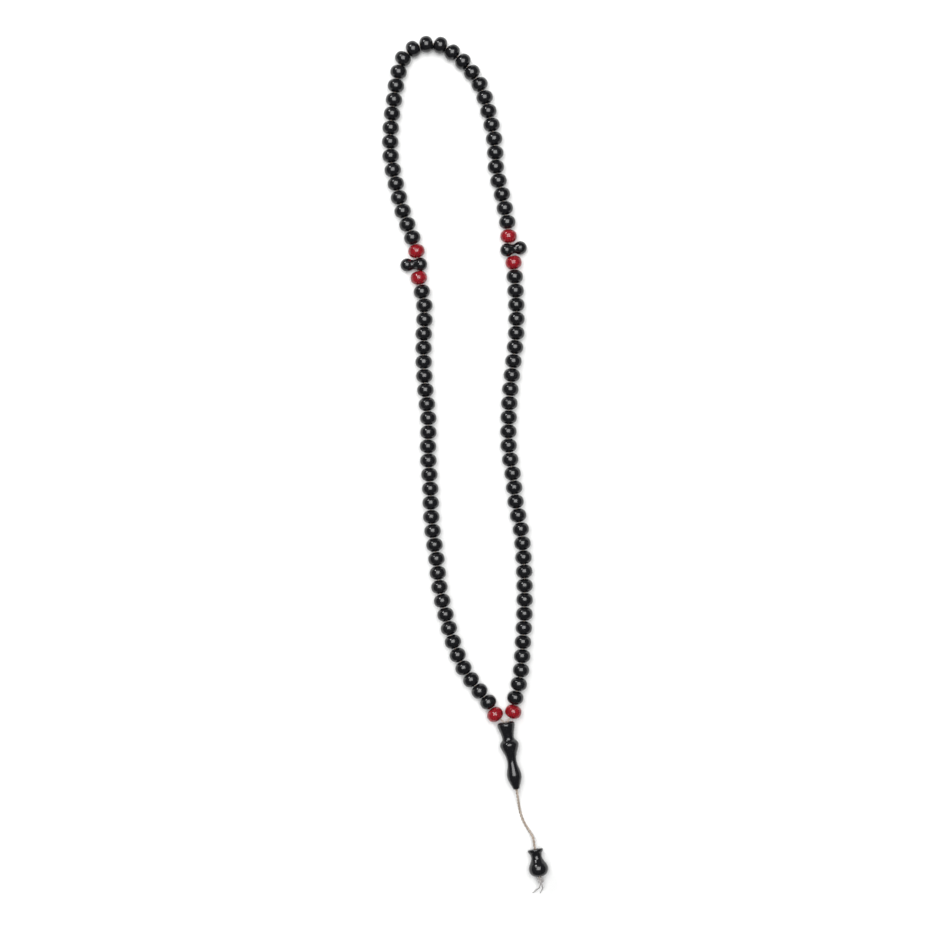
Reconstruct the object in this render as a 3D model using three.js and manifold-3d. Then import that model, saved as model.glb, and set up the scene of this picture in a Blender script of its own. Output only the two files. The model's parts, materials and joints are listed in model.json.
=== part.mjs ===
// Misbaha prayer beads: ninety-nine beads on one thread, in three runs of thirty-one
// black beads between red ones, two divider beads, a leader bead and an end bead.
// The string lies flat on a table, as it does when it has been put down.
// Units are millimetres, +X to the right, +Y towards the top of the loop, +Z up.
import * as THREE from 'three';
import { mergeVertices } from 'three/addons/utils/BufferGeometryUtils.js';
import Module from 'manifold-3d';

const wasm = await Module();
wasm.setup();

// ---- driving dimensions ----
const BEAD_RADIUS = 3.45;        // at the equator, to the flat of each facet
const BEAD_HALF_LENGTH = 2.55;   // along the thread
const BEAD_BAND = 1.3;           // half the width of the full-radius band
const BEAD_FACE_RADIUS = 1.4;    // flat end round the hole
const BEAD_SIDES = 8;            // one flat lies on the table
const BORE_RADIUS = 0.8;
const BORE_SIDES = 6;
const BORE_STEP_BEND = 0.09;     // radians of bend that one straight stretch of a hole takes
const SMOOTHING = 0.01;          // joined faces closer to flat than this become one
const NECK_RADIUS = 1.25;        // the touching ends of two beads in one run
const NECK_INSET = 0.5;          // how far a neck reaches into each bead
const STRAND_RADIUS = 0.3;
const STRAND_SIDES = 6;
const TAIL_SIDES = 8;
const LOOP_STEPS = 132;
const BEADS_PER_THIRD = 31;
const RUNS_PER_THIRD = 15;       // fourteen pairs and a run of three
const DIVIDER_SPAN = 11.1;       // between the two red beads beside a divider
const DIVIDER_RADIUS = 2.6;      // of each lobe
const DIVIDER_INNER = 1.5;       // from the hole to the middle of the inner lobe
const DIVIDER_OUTER = 4.2;       // from the hole to the middle of the outer lobe
const DIVIDER_WAIST = 1.9;       // radius between the lobes
const IMAM_SIDES = 12;
const IMAM_BORE_RADIUS = 1.15;
const END_BEAD_BORE_RADIUS = 0.95;
const TAIL_RADIUS = 0.58;        // two strands twisted together
const TAIL_GAP = 0.7;            // opening at the bend of the tail
const TAIL_STEPS = 8;
const KNOT_GAP = 0.3;
const KNOT_LENGTH = 2.3;
const KNOT_RADIUS = 1.35;
const LOOSE_END_STEPS = 5;

// Points that the thread runs through, from the leader bead up the left side, over
// the top and down the right side, at the height of the beads' middles.
const LOOP_ROUTE = [
  [16.2, -106.8], [12.1, -103.4], [9.4, -98.4], [5.9, -94.0], [-0.7, -84.6], [-5.2, -73.6],
  [-8.3, -62.3], [-10.8, -51.0], [-12.0, -39.6], [-14.0, -24.5], [-14.6, -10.5], [-15.5, 4.5],
  [-15.4, 18.4], [-16.6, 30.1], [-17.3, 41.6], [-17.3, 53.3], [-17.0, 64.9], [-19.2, 76.1],
  [-20.0, 81.3], [-20.2, 87.2], [-21.9, 92.9], [-26.0, 104.2], [-28.8, 115.5], [-30.9, 126.5],
  [-30.9, 138.4], [-29.6, 149.8], [-27.8, 161.0], [-25.9, 167.0], [-21.8, 171.0], [-15.6, 173.1],
  [-9.5, 172.3], [-4.6, 168.9], [-0.3, 165.0], [3.3, 160.3], [6.4, 155.1], [9.6, 144.4],
  [11.9, 132.8], [12.6, 121.2], [15.2, 110.0], [17.3, 98.6], [17.8, 92.6], [18.6, 87.5],
  [19.9, 82.1], [20.3, 75.9], [20.9, 64.9], [20.8, 53.0], [19.6, 41.4], [18.3, 29.4],
  [17.7, 17.8], [17.8, 6.2], [19.5, -5.1], [20.7, -16.5], [22.9, -28.0], [23.9, -39.6],
  [24.3, -50.9], [24.2, -62.6], [23.6, -73.8], [22.8, -85.5], [21.8, -91.2], [20.4, -96.8],
  [19.65, -102.25], [16.95, -106.8],
];
const LEADER_HEIGHT = 3.95;      // where the thread enters the leader bead

// The leader bead's outline: radius, then distance from its head.
const IMAM_PROFILE = [
  [2.3, 0.2], [3.55, 1.2], [3.6, 2.3], [2.6, 5.0], [2.75, 7.2], [3.9, 9.6], [3.7, 11.2],
  [2.3, 14.2], [2.0, 16.6], [2.3, 19.0], [3.15, 21.8], [2.9, 24.0], [1.9, 27.0], [1.4, 28.3],
];
const IMAM_HEAD = [16.4, -106.3];
const IMAM_TIP = [20.95, -134.2];

// The end bead's outline: radius, then distance from its flange.
const END_BEAD_PROFILE = [
  [2.0, 0], [3.1, 0.5], [3.0, 1.3], [2.3, 2.3], [2.2, 3.9], [3.1, 5.5], [4.1, 8.0], [3.7, 9.9],
  [1.8, 11.4],
];
const END_BEAD_TOP = [28.6, -158.8, 3.2];
const END_BEAD_FOOT = [30.6, -170.2, 4.5];

const TAIL_BEND = [23.7, -147.4, 0.68];   // where the tail's two halves meet
// Points that the bare tail runs through, from the leader bead's tip to its bend.
const TAIL_UPPER_ROUTE = [
  [20.87, -133.7, 3.95], [21.4, -137.2, 3.5], [21.8, -140.0, 2.2], [22.3, -142.8, 0.95],
  [22.9, -145.2, 0.68], TAIL_BEND,
];
// From the bend to the end bead, in line with it for the last few millimetres.
const TAIL_LOWER_ROUTE = [
  TAIL_BEND, [24.6, -149.4, 0.75], [25.6, -151.3, 1.2], [26.9, -153.0, 2.1],
];
const TAIL_STRAIGHT = 5.0;       // stretch above the end bead, in line with its hole

// The two loose ends, from the knot down to the table.
const LOOSE_END_ROUTES = [
  [[30.4, -174.5, 4.3], [29.2, -176.0, 2.0], [28.0, -177.4, 0.45]],
  [[31.7, -174.5, 4.3], [31.6, -175.8, 2.0], [31.0, -177.2, 0.45]],
];

const COLOURS = {
  black: new THREE.MeshStandardMaterial({ color: 0x17171a, roughness: 0.28, metalness: 0 }),
  red: new THREE.MeshStandardMaterial({ color: 0xb02030, roughness: 0.2, metalness: 0 }),
  thread: new THREE.MeshStandardMaterial({ color: 0x9a8c80, roughness: 0.85, metalness: 0 }),
};

// The middle of the ground that the beads cover, which becomes the model's origin. The
// routes are measured from a point near the middle of the loop.
const ORIGIN = [-0.28, 3.15];

const model = new THREE.Group();
model.position.set(-ORIGIN[0], -ORIGIN[1], 0);
const UP = new THREE.Vector3(0, 0, 1);

// ---- helpers ----
function solidOf(geometry) {
  const bare = geometry.clone();
  bare.deleteAttribute('normal');
  bare.deleteAttribute('uv');
  const merged = mergeVertices(bare, 1e-5);
  return new wasm.Manifold(new wasm.Mesh({
    numProp: 3,
    vertProperties: new Float32Array(merged.attributes.position.array),
    triVerts: new Uint32Array(merged.index.array),
  }));
}

function addMesh(name, solid, material) {
  const { vertProperties, triVerts } = solid.getMesh();
  const geometry = new THREE.BufferGeometry();
  geometry.setAttribute('position', new THREE.BufferAttribute(new Float32Array(vertProperties), 3));
  geometry.setIndex(new THREE.BufferAttribute(new Uint32Array(triVerts), 1));
  geometry.computeVertexNormals();
  const mesh = new THREE.Mesh(geometry, material);
  mesh.name = name;
  model.add(mesh);
}

const point = ([x, y, z]) => new THREE.Vector3(x, y, z);

// Turns a shape made round +Y so that +Y points along a direction and the shape's
// own +Z stays as near upright as it can.
function placed(geometry, origin, direction) {
  const along = direction.clone().normalize();
  const side = new THREE.Vector3().crossVectors(along, UP).normalize();
  const top = new THREE.Vector3().crossVectors(side, along);
  const frame = new THREE.Matrix4().makeBasis(side, along, top).setPosition(origin);
  return geometry.applyMatrix4(frame);
}

// A solid of revolution with a flat facet below: the outline is [radius, distance].
function turned(outline, sides) {
  const reach = 1 / Math.cos(Math.PI / sides);
  const first = outline[0][1];
  const last = outline[outline.length - 1][1];
  const points = [[0, first], ...outline, [0, last]]
    .map(([radius, distance]) => new THREE.Vector2(radius * reach, distance));
  return new THREE.LatheGeometry(points, sides, Math.PI / sides);
}

function section(radius, sides) {
  const shape = new THREE.Shape();
  const reach = radius / Math.cos(Math.PI / sides);
  for (let i = 0; i < sides; i += 1) {
    const angle = ((i + 0.5) * 2 * Math.PI) / sides;
    const [x, y] = [reach * Math.cos(angle), reach * Math.sin(angle)];
    if (i === 0) shape.moveTo(x, y);
    else shape.lineTo(x, y);
  }
  shape.closePath();
  return shape;
}

function curveThrough(points) {
  const curve = new THREE.CatmullRomCurve3(points, false, 'centripetal');
  curve.arcLengthDivisions = 4000;
  return curve;
}

function tubeAlong(path, radius, sides, steps) {
  const options = { steps, bevelEnabled: false, extrudePath: path, curveSegments: 1 };
  return solidOf(new THREE.ExtrudeGeometry(section(radius, sides), options));
}

const tube = (points, ...rest) => tubeAlong(curveThrough(points), ...rest);

// ---- where the beads sit on the thread ----
const leaderEnds = new Set([0, LOOP_ROUTE.length - 1]);
const loopPoints = LOOP_ROUTE.map(([x, y], i) => (
  new THREE.Vector3(x, y, leaderEnds.has(i) ? LEADER_HEIGHT : BEAD_RADIUS)
));
const loopCurve = curveThrough(loopPoints);
const loopLength = loopCurve.getLength();

// Length along the loop from its start to one of its route points.
function lengthAt(index) {
  const lengths = loopCurve.getLengths();
  const share = index / (loopPoints.length - 1);
  return lengths[Math.round(share * loopCurve.arcLengthDivisions)];
}

const firstBead = lengthAt(1);
const lastBead = lengthAt(loopPoints.length - 2);
// Ninety-six gaps between neighbours, and two that a divider fills.
const BEAD_COUNT = 3 * BEADS_PER_THIRD + 6;
const pitch = (lastBead - firstBead - 2 * DIVIDER_SPAN) / (BEAD_COUNT - 3);

function seatAt(length) {
  const share = length / loopLength;
  const direction = loopCurve.getTangentAt(share).setZ(0).normalize();
  return { length, middle: loopCurve.getPointAt(share).setZ(BEAD_RADIUS), direction };
}

const leftLower = BEADS_PER_THIRD + 1;
const leftUpper = leftLower + 1;
const rightUpper = leftUpper + BEADS_PER_THIRD + 1;
const rightLower = rightUpper + 1;

function beadLength(index) {
  const dividersPassed = (index >= leftUpper ? 1 : 0) + (index >= rightLower ? 1 : 0);
  return firstBead + index * pitch + dividersPassed * (DIVIDER_SPAN - pitch);
}
const seats = Array.from({ length: BEAD_COUNT }, (_, i) => seatAt(beadLength(i)));

// ---- beads ----
const BEAD_PROFILE = [
  [BEAD_FACE_RADIUS, -BEAD_HALF_LENGTH], [BEAD_RADIUS, -BEAD_BAND],
  [BEAD_RADIUS, BEAD_BAND], [BEAD_FACE_RADIUS, BEAD_HALF_LENGTH],
];

// One bead, or neighbours that touch end to end, with the hole that the thread takes.
function beadRun(first, count) {
  const run = seats.slice(first, first + count);
  let solid = null;
  run.forEach(({ middle, direction }) => {
    const bead = solidOf(placed(turned(BEAD_PROFILE, BEAD_SIDES), middle, direction));
    solid = solid ? solid.add(bead) : bead;
  });
  for (let i = 1; i < count; i += 1) {
    const from = run[i - 1].middle.clone()
      .addScaledVector(run[i - 1].direction, BEAD_HALF_LENGTH - NECK_INSET);
    const to = run[i].middle.clone()
      .addScaledVector(run[i].direction, NECK_INSET - BEAD_HALF_LENGTH);
    const length = from.distanceTo(to);
    const neck = turned([[NECK_RADIUS, 0], [NECK_RADIUS, length]], BORE_SIDES);
    solid = solid.add(solidOf(placed(neck, from, to.clone().sub(from))));
  }
  const reach = BEAD_HALF_LENGTH + 1;
  const start = run[0].middle.clone().addScaledVector(run[0].direction, -reach);
  const finish = run[count - 1].middle.clone().addScaledVector(run[count - 1].direction, reach);
  const line = [start];
  run.forEach(({ middle }, i) => {
    if (i > 0) line.push(seatAt((run[i - 1].length + run[i].length) / 2).middle);
    line.push(middle.clone());
  });
  line.push(finish);
  let bend = 0;
  for (let i = 1; i < count; i += 1) bend += run[i - 1].direction.angleTo(run[i].direction);
  const steps = Math.max(1, 2 * count - 3, Math.ceil(bend / BORE_STEP_BEND));
  return solid.subtract(tube(line, BORE_RADIUS, BORE_SIDES, steps)).simplify(SMOOTHING);
}

// A third of the string: fourteen pairs and one run of three, which comes at tripleAt.
// Runs are counted from the leader bead, or from the left divider over the top.
function addThird(prefix, first, tripleAt, backwards) {
  let taken = 0;
  for (let run = 1; run <= RUNS_PER_THIRD; run += 1) {
    const count = run === tripleAt ? 3 : 2;
    const start = backwards ? first + BEADS_PER_THIRD - taken - count : first + taken;
    const name = `${prefix}_${String(run).padStart(2, '0')}`;
    addMesh(name, beadRun(start, count), COLOURS.black);
    taken += count;
  }
}

addThird('beads_left', 1, 1, false);
addThird('beads_top', leftUpper + 1, 8, false);
addThird('beads_right', rightLower + 1, 1, true);

const RED_BEADS = {
  red_bead_left_base: 0,
  red_bead_left_lower: leftLower,
  red_bead_left_upper: leftUpper,
  red_bead_right_upper: rightUpper,
  red_bead_right_lower: rightLower,
  red_bead_right_base: BEAD_COUNT - 1,
};
Object.entries(RED_BEADS).forEach(([name, index]) => {
  addMesh(name, beadRun(index, 1), COLOURS.red);
});

// ---- dividers: two lobes side by side, bored between them, with the bigger reach
// to the outside of the loop, where it leans down on the table ----
function addDivider(name, lower, upper, outward) {
  const middleLength = (beadLength(lower) + beadLength(upper)) / 2;
  const { middle, direction } = seatAt(middleLength);
  const lean = Math.asin((BEAD_RADIUS - DIVIDER_RADIUS) / DIVIDER_OUTER);
  const flat = new THREE.Vector3().crossVectors(direction, UP).multiplyScalar(outward);
  const axis = flat.multiplyScalar(Math.cos(lean)).addScaledVector(UP, -Math.sin(lean));
  const slope = DIVIDER_RADIUS * Math.SQRT1_2;
  const lobes = turned([
    [DIVIDER_RADIUS * 0.3, -DIVIDER_INNER - DIVIDER_RADIUS],
    [slope, -DIVIDER_INNER - slope],
    [DIVIDER_RADIUS, -DIVIDER_INNER],
    [DIVIDER_WAIST, (DIVIDER_OUTER - DIVIDER_INNER) / 2],
    [DIVIDER_RADIUS, DIVIDER_OUTER],
    [slope, DIVIDER_OUTER + slope],
    [DIVIDER_RADIUS * 0.3, DIVIDER_OUTER + DIVIDER_RADIUS],
  ], BEAD_SIDES);
  const body = solidOf(placed(lobes, middle, axis));
  const reach = DIVIDER_RADIUS + 1;
  const hole = tube([
    middle.clone().addScaledVector(direction, -reach),
    middle.clone(),
    middle.clone().addScaledVector(direction, reach),
  ], BORE_RADIUS, BORE_SIDES, 2);
  addMesh(name, body.subtract(hole), COLOURS.black);
}
addDivider('divider_left', leftLower, leftUpper, -1);
addDivider('divider_right', rightUpper, rightLower, -1);

// ---- leader bead ----
const imamHead = point([...IMAM_HEAD, LEADER_HEIGHT]);
const imamTip = point([...IMAM_TIP, LEADER_HEIGHT]);
const imamLine = imamTip.clone().sub(imamHead);
const imamAlong = imamLine.clone().normalize();
const imamBody = solidOf(placed(turned(IMAM_PROFILE, IMAM_SIDES), imamHead, imamLine));
const imamBore = tube([
  imamHead.clone().addScaledVector(imamAlong, -1),
  imamTip.clone().addScaledVector(imamAlong, 1),
], IMAM_BORE_RADIUS, BORE_SIDES, 1);
addMesh('imam_bead', imamBody.subtract(imamBore), COLOURS.black);

// ---- end bead ----
const endTop = point(END_BEAD_TOP);
const endFoot = point(END_BEAD_FOOT);
const endLine = endFoot.clone().sub(endTop);
const endAlong = endLine.clone().normalize();
const endBody = solidOf(placed(turned(END_BEAD_PROFILE, IMAM_SIDES), endTop, endLine));
const endBore = tube([
  endTop.clone().addScaledVector(endAlong, -1),
  endFoot.clone().addScaledVector(endAlong, 1),
], END_BEAD_BORE_RADIUS, BORE_SIDES, 1);
addMesh('end_bead', endBody.subtract(endBore), COLOURS.black);

// ---- thread ----
const loopThread = tubeAlong(loopCurve, STRAND_RADIUS, STRAND_SIDES, LOOP_STEPS);
addMesh('loop_thread', loopThread, COLOURS.thread);

const gapShare = TAIL_GAP / 2;
const upperPoints = TAIL_UPPER_ROUTE.map(point);
const upperEnd = upperPoints[upperPoints.length - 1];
const upperAlong = upperEnd.clone().sub(upperPoints[upperPoints.length - 2]).normalize();
upperEnd.addScaledVector(upperAlong, -gapShare);
const upperTail = tube(upperPoints, TAIL_RADIUS, TAIL_SIDES, TAIL_STEPS);
addMesh('tail_thread_upper', upperTail, COLOURS.thread);

const lowerPoints = TAIL_LOWER_ROUTE.map(point);
lowerPoints[0].addScaledVector(lowerPoints[1].clone().sub(lowerPoints[0]).normalize(), gapShare);
lowerPoints.push(endTop.clone().addScaledVector(endAlong, -TAIL_STRAIGHT));
lowerPoints.push(endTop.clone().addScaledVector(endAlong, -TAIL_STRAIGHT / 2));
lowerPoints.push(endTop.clone(), endTop.clone().lerp(endFoot, 0.5), endFoot.clone());
const lowerTail = tube(lowerPoints, TAIL_RADIUS, TAIL_SIDES, 2 * TAIL_STEPS);
addMesh('tail_thread_lower', lowerTail, COLOURS.thread);

// ---- knot below the end bead, and the two loose ends of the thread ----
const knotOutline = [
  [KNOT_RADIUS * 0.6, 0], [KNOT_RADIUS, KNOT_LENGTH * 0.35],
  [KNOT_RADIUS, KNOT_LENGTH * 0.65], [KNOT_RADIUS * 0.5, KNOT_LENGTH],
];
const knotStart = endFoot.clone().addScaledVector(endAlong, KNOT_GAP);
const knot = solidOf(placed(turned(knotOutline, TAIL_SIDES), knotStart, endLine));
addMesh('knot', knot, COLOURS.thread);

const endsStart = knotStart.clone().addScaledVector(endAlong, KNOT_LENGTH + KNOT_GAP);
const looseEnds = LOOSE_END_ROUTES.map((route) => (
  tube([endsStart.clone(), ...route.map(point)], STRAND_RADIUS, STRAND_SIDES, LOOSE_END_STEPS)
));
addMesh('thread_ends', looseEnds[0].add(looseEnds[1]).simplify(SMOOTHING), COLOURS.thread);

export default model;
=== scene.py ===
"""Misbaha prayer beads lying flat on a pale surface.

Ninety-nine beads on one thread: three runs of thirty-one black beads between red ones,
two divider beads that stick out to the side, a turned leader bead, and a bare twisted
tail that ends in a bead and a knot. Lengths are in millimetres up to the moment that a
surface becomes a mesh, and metres from there on.
"""

from __future__ import annotations

import json
import logging
import math
from dataclasses import dataclass, field
from enum import Enum
from typing import Sequence

import bpy
import numpy as np
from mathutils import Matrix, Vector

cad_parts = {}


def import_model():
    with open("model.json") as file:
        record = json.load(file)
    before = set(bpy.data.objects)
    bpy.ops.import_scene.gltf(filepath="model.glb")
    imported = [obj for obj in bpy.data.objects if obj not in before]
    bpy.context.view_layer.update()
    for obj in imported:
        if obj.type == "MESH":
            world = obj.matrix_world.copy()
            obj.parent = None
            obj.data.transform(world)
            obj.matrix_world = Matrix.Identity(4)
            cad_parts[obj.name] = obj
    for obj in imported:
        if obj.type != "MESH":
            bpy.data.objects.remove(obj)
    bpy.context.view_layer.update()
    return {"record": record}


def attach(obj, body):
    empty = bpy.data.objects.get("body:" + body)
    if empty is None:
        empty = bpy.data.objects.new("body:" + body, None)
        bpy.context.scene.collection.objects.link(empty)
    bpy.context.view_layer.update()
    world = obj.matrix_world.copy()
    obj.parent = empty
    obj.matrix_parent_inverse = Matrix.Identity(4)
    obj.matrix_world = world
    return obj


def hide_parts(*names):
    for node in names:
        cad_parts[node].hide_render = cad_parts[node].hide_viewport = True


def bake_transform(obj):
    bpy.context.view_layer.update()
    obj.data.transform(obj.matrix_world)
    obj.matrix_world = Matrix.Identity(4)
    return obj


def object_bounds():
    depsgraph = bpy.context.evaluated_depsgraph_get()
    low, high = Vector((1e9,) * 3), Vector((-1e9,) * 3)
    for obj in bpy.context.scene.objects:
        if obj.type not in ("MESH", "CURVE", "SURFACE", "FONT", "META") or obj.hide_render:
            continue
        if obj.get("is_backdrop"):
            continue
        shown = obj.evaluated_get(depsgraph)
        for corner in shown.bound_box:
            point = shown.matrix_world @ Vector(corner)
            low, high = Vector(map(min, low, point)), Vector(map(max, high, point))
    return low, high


LOG = logging.getLogger("misbaha")

MM = 0.001
ORIGIN = np.array([-0.28, 3.15, 0.0])
BEAD_HEIGHT = 3.45
LEADER_HEIGHT = 3.95
BEADS_PER_THIRD = 31
RUNS_PER_THIRD = 15
TOP_TRIPLE = 8
DIVIDER_SPAN = 11.1
UP = np.array([0.0, 0.0, 1.0])
SEED = 99
UV_NAME = "along"
SEAM_CROWDING = 0.45
SEAM_SPREAD = 0.02
SHARP_ANGLE = 35

# Points that the thread runs through, from the leader bead up the left side, over the
# top and down the right side, on the height of the beads' middles.
LOOP_ROUTE = (
    (16.2, -106.8), (12.1, -103.4), (9.4, -98.4), (5.9, -94.0), (-0.7, -84.6), (-5.2, -73.6),
    (-8.3, -62.3), (-10.8, -51.0), (-12.0, -39.6), (-14.0, -24.5), (-14.6, -10.5), (-15.5, 4.5),
    (-15.4, 18.4), (-16.6, 30.1), (-17.3, 41.6), (-17.3, 53.3), (-17.0, 64.9), (-19.2, 76.1),
    (-20.0, 81.3), (-20.2, 87.2), (-21.9, 92.9), (-26.0, 104.2), (-28.8, 115.5), (-30.9, 126.5),
    (-30.9, 138.4), (-29.6, 149.8), (-27.8, 161.0), (-25.9, 167.0), (-21.8, 171.0), (-15.6, 173.1),
    (-9.5, 172.3), (-4.6, 168.9), (-0.3, 165.0), (3.3, 160.3), (6.4, 155.1), (9.6, 144.4),
    (11.9, 132.8), (12.6, 121.2), (15.2, 110.0), (17.3, 98.6), (17.8, 92.6), (18.6, 87.5),
    (19.9, 82.1), (20.3, 75.9), (20.9, 64.9), (20.8, 53.0), (19.6, 41.4), (18.3, 29.4),
    (17.7, 17.8), (17.8, 6.2), (19.5, -5.1), (20.7, -16.5), (22.9, -28.0), (23.9, -39.6),
    (24.3, -50.9), (24.2, -62.6), (23.6, -73.8), (22.8, -85.5), (21.8, -91.2), (20.4, -96.8),
    (19.65, -102.25), (16.95, -106.8),
)

# Points that the bare tail runs through, from the leader bead's tip to the end bead.
TAIL_ROUTE = (
    (20.87, -133.7, 3.95), (21.4, -137.2, 3.5), (21.8, -140.0, 2.2), (22.3, -142.8, 0.95),
    (22.9, -145.2, 0.68), (23.7, -147.4, 0.68), (24.7, -149.3, 0.85), (25.85, -151.05, 1.4),
    (27.05, -152.8, 2.15),
)
TAIL_BEND = np.array([23.7, -147.4, 0.68])
TAIL_STRAIGHT = 4.2
IMAM_HEAD = np.array([16.4, -106.3, LEADER_HEIGHT])
IMAM_TIP = np.array([20.95, -134.2, LEADER_HEIGHT])
END_BEAD_TOP = np.array([28.6, -158.8, 3.2])
END_BEAD_FOOT = np.array([30.6, -170.2, 4.5])

# The two loose ends, from the knot down to the table.
LOOSE_ENDS = (
    ((30.4, -174.5, 4.3), (29.2, -176.0, 2.0), (28.0, -177.4, 0.45)),
    ((31.7, -174.5, 4.3), (31.6, -175.8, 2.0), (31.0, -177.2, 0.45)),
)


class Side(Enum):
    """The side of the loop that a divider stands on."""

    LEFT = "left"
    RIGHT = "right"


class Slot(Enum):
    """The material slots that the record names."""

    BLACK = "black_bead"
    RED = "red_bead"
    THREAD = "thread"


# ---------------------------------------------------------------- curves and frames


def unit(vector: np.ndarray) -> np.ndarray:
    """Scales a vector, or each row of an array of vectors, to length one."""
    return vector / np.linalg.norm(vector, axis=-1, keepdims=True)


def in_frame(points: np.ndarray) -> np.ndarray:
    """Moves route coordinates in millimetres into the shared frame, in metres."""
    return (np.asarray(points, float) - ORIGIN) * MM


@dataclass
class ThreadRoute:
    """A smooth curve through chosen points, which can be walked by length.

    Between two points it is the centripetal cubic of their neighbours: each point's
    slope is a weighted mean of the chords either side, weighted by the square root of
    their lengths, so the curve has no loops and little overshoot.
    """

    points: np.ndarray
    samples: int = 80
    line: np.ndarray = field(init=False)
    lengths: np.ndarray = field(init=False)

    def __post_init__(self) -> None:
        """Works out the fine line and the length along it at each of its points."""
        p = np.asarray(self.points, float)
        p = np.vstack([2 * p[0] - p[1], p, 2 * p[-1] - p[-2]])
        gaps = np.sqrt(np.linalg.norm(np.diff(p, axis=0), axis=1))[:, None]
        a, b, c, d = p[:-3], p[1:-2], p[2:-1], p[3:]
        before, middle, after = gaps[:-2], gaps[1:-1], gaps[2:]
        leave = middle * ((b - a) / before - (c - a) / (before + middle) + (c - b) / middle)
        arrive = middle * ((c - b) / middle - (d - b) / (middle + after) + (d - c) / after)
        t = np.linspace(0, 1, self.samples, endpoint=False)[None, :, None]
        b, c, leave, arrive = (x[:, None, :] for x in (b, c, leave, arrive))
        cubic = b + leave * t + (3 * (c - b) - 2 * leave - arrive) * t**2
        cubic = cubic + (2 * (b - c) + leave + arrive) * t**3
        self.line = np.vstack([cubic.reshape(-1, p.shape[1]), p[-2]])
        steps = np.linalg.norm(np.diff(self.line, axis=0), axis=1)
        self.lengths = np.concatenate([[0.0], np.cumsum(steps)])

    @property
    def length(self) -> float:
        """The whole length."""
        return float(self.lengths[-1])

    def length_at(self, index: int) -> float:
        """The length from the start to one of the chosen points."""
        return float(self.lengths[index * self.samples])

    def at(self, lengths: float | np.ndarray) -> np.ndarray:
        """The places at one or more lengths from the start."""
        axes = range(self.line.shape[1])
        return np.stack([np.interp(lengths, self.lengths, self.line[:, k]) for k in axes], -1)

    def direction(self, lengths: float | np.ndarray, reach: float = 0.2) -> np.ndarray:
        """The unit direction of travel at one or more lengths from the start."""
        ahead = np.minimum(np.asarray(lengths) + reach, self.length)
        behind = np.maximum(np.asarray(lengths) - reach, 0.0)
        return unit(self.at(ahead) - self.at(behind))


def axes_along(direction: np.ndarray) -> tuple[np.ndarray, np.ndarray, np.ndarray]:
    """Three axes of a turned piece: along it, to its side, and as upright as can be."""
    along = unit(direction)
    side = unit(np.cross(along, UP))
    return along, side, np.cross(side, along)


# ---------------------------------------------------------------- surfaces


def grid_faces(rows: int, columns: int, wrap_rows: bool) -> np.ndarray:
    """Quads over a grid of points whose columns always join round.

    Args:
        rows: Rings of points.
        columns: Points in each ring.
        wrap_rows: True if the last ring joins the first, as on a ring-shaped solid.

    Returns:
        One row of four point numbers for each quad.
    """
    i = np.arange(rows if wrap_rows else rows - 1)[:, None]
    j = np.arange(columns)[None, :]
    following, beside = (i + 1) % rows, (j + 1) % columns
    corners = (i * columns + j, i * columns + beside, following * columns + beside,
               following * columns + j)
    return np.stack(corners, axis=-1).reshape(-1, 4)


def build_mesh(name: str, points: np.ndarray, faces: Sequence, uv: np.ndarray | None = None
               ) -> bpy.types.Object:
    """Makes a smooth-shaded object from points in route millimetres.

    Args:
        name: The object's name.
        points: One row for each vertex.
        faces: Vertex numbers of each face, facing out.
        uv: One (u, v) pair for each face corner, where a pattern follows the surface.

    Returns:
        The object, which sits at the origin with its place in its mesh.
    """
    mesh = bpy.data.meshes.new(name)
    mesh.from_pydata(in_frame(points).tolist(), [], [list(f) for f in faces])
    if uv is not None:
        mesh.uv_layers.new(name=UV_NAME).data.foreach_set("uv", uv.astype(np.float32).ravel())
    mesh.polygons.foreach_set("use_smooth", np.ones(len(mesh.polygons), bool))
    mesh.update()
    obj = bpy.data.objects.new(name, mesh)
    bpy.context.collection.objects.link(obj)
    return obj


def faces_out(quads: np.ndarray, points: np.ndarray) -> bool:
    """True if the quads' normals point out of the body that they close.

    The body's volume is the sum of the pyramids from its middle to each triangle, and it
    is positive when the faces point out.
    """
    a, b, c, d = (points[quads[:, k]] - points.mean(axis=0) for k in range(4))
    volume = np.einsum("ij,ij->", np.cross(a, b), c) + np.einsum("ij,ij->", np.cross(a, c), d)
    return bool(volume > 0)


def ring_solid(name: str, rings: np.ndarray) -> bpy.types.Object:
    """Joins rings of points round into a ring-shaped solid.

    Args:
        name: The object's name.
        rings: Points by ring, column and axis. The last ring joins the first.

    Returns:
        The object.
    """
    points = rings.reshape(-1, 3)
    quads = grid_faces(rings.shape[0], rings.shape[1], wrap_rows=True)
    if not faces_out(quads, points):
        quads = quads[:, ::-1]
    return build_mesh(name, points, quads.tolist())


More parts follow.
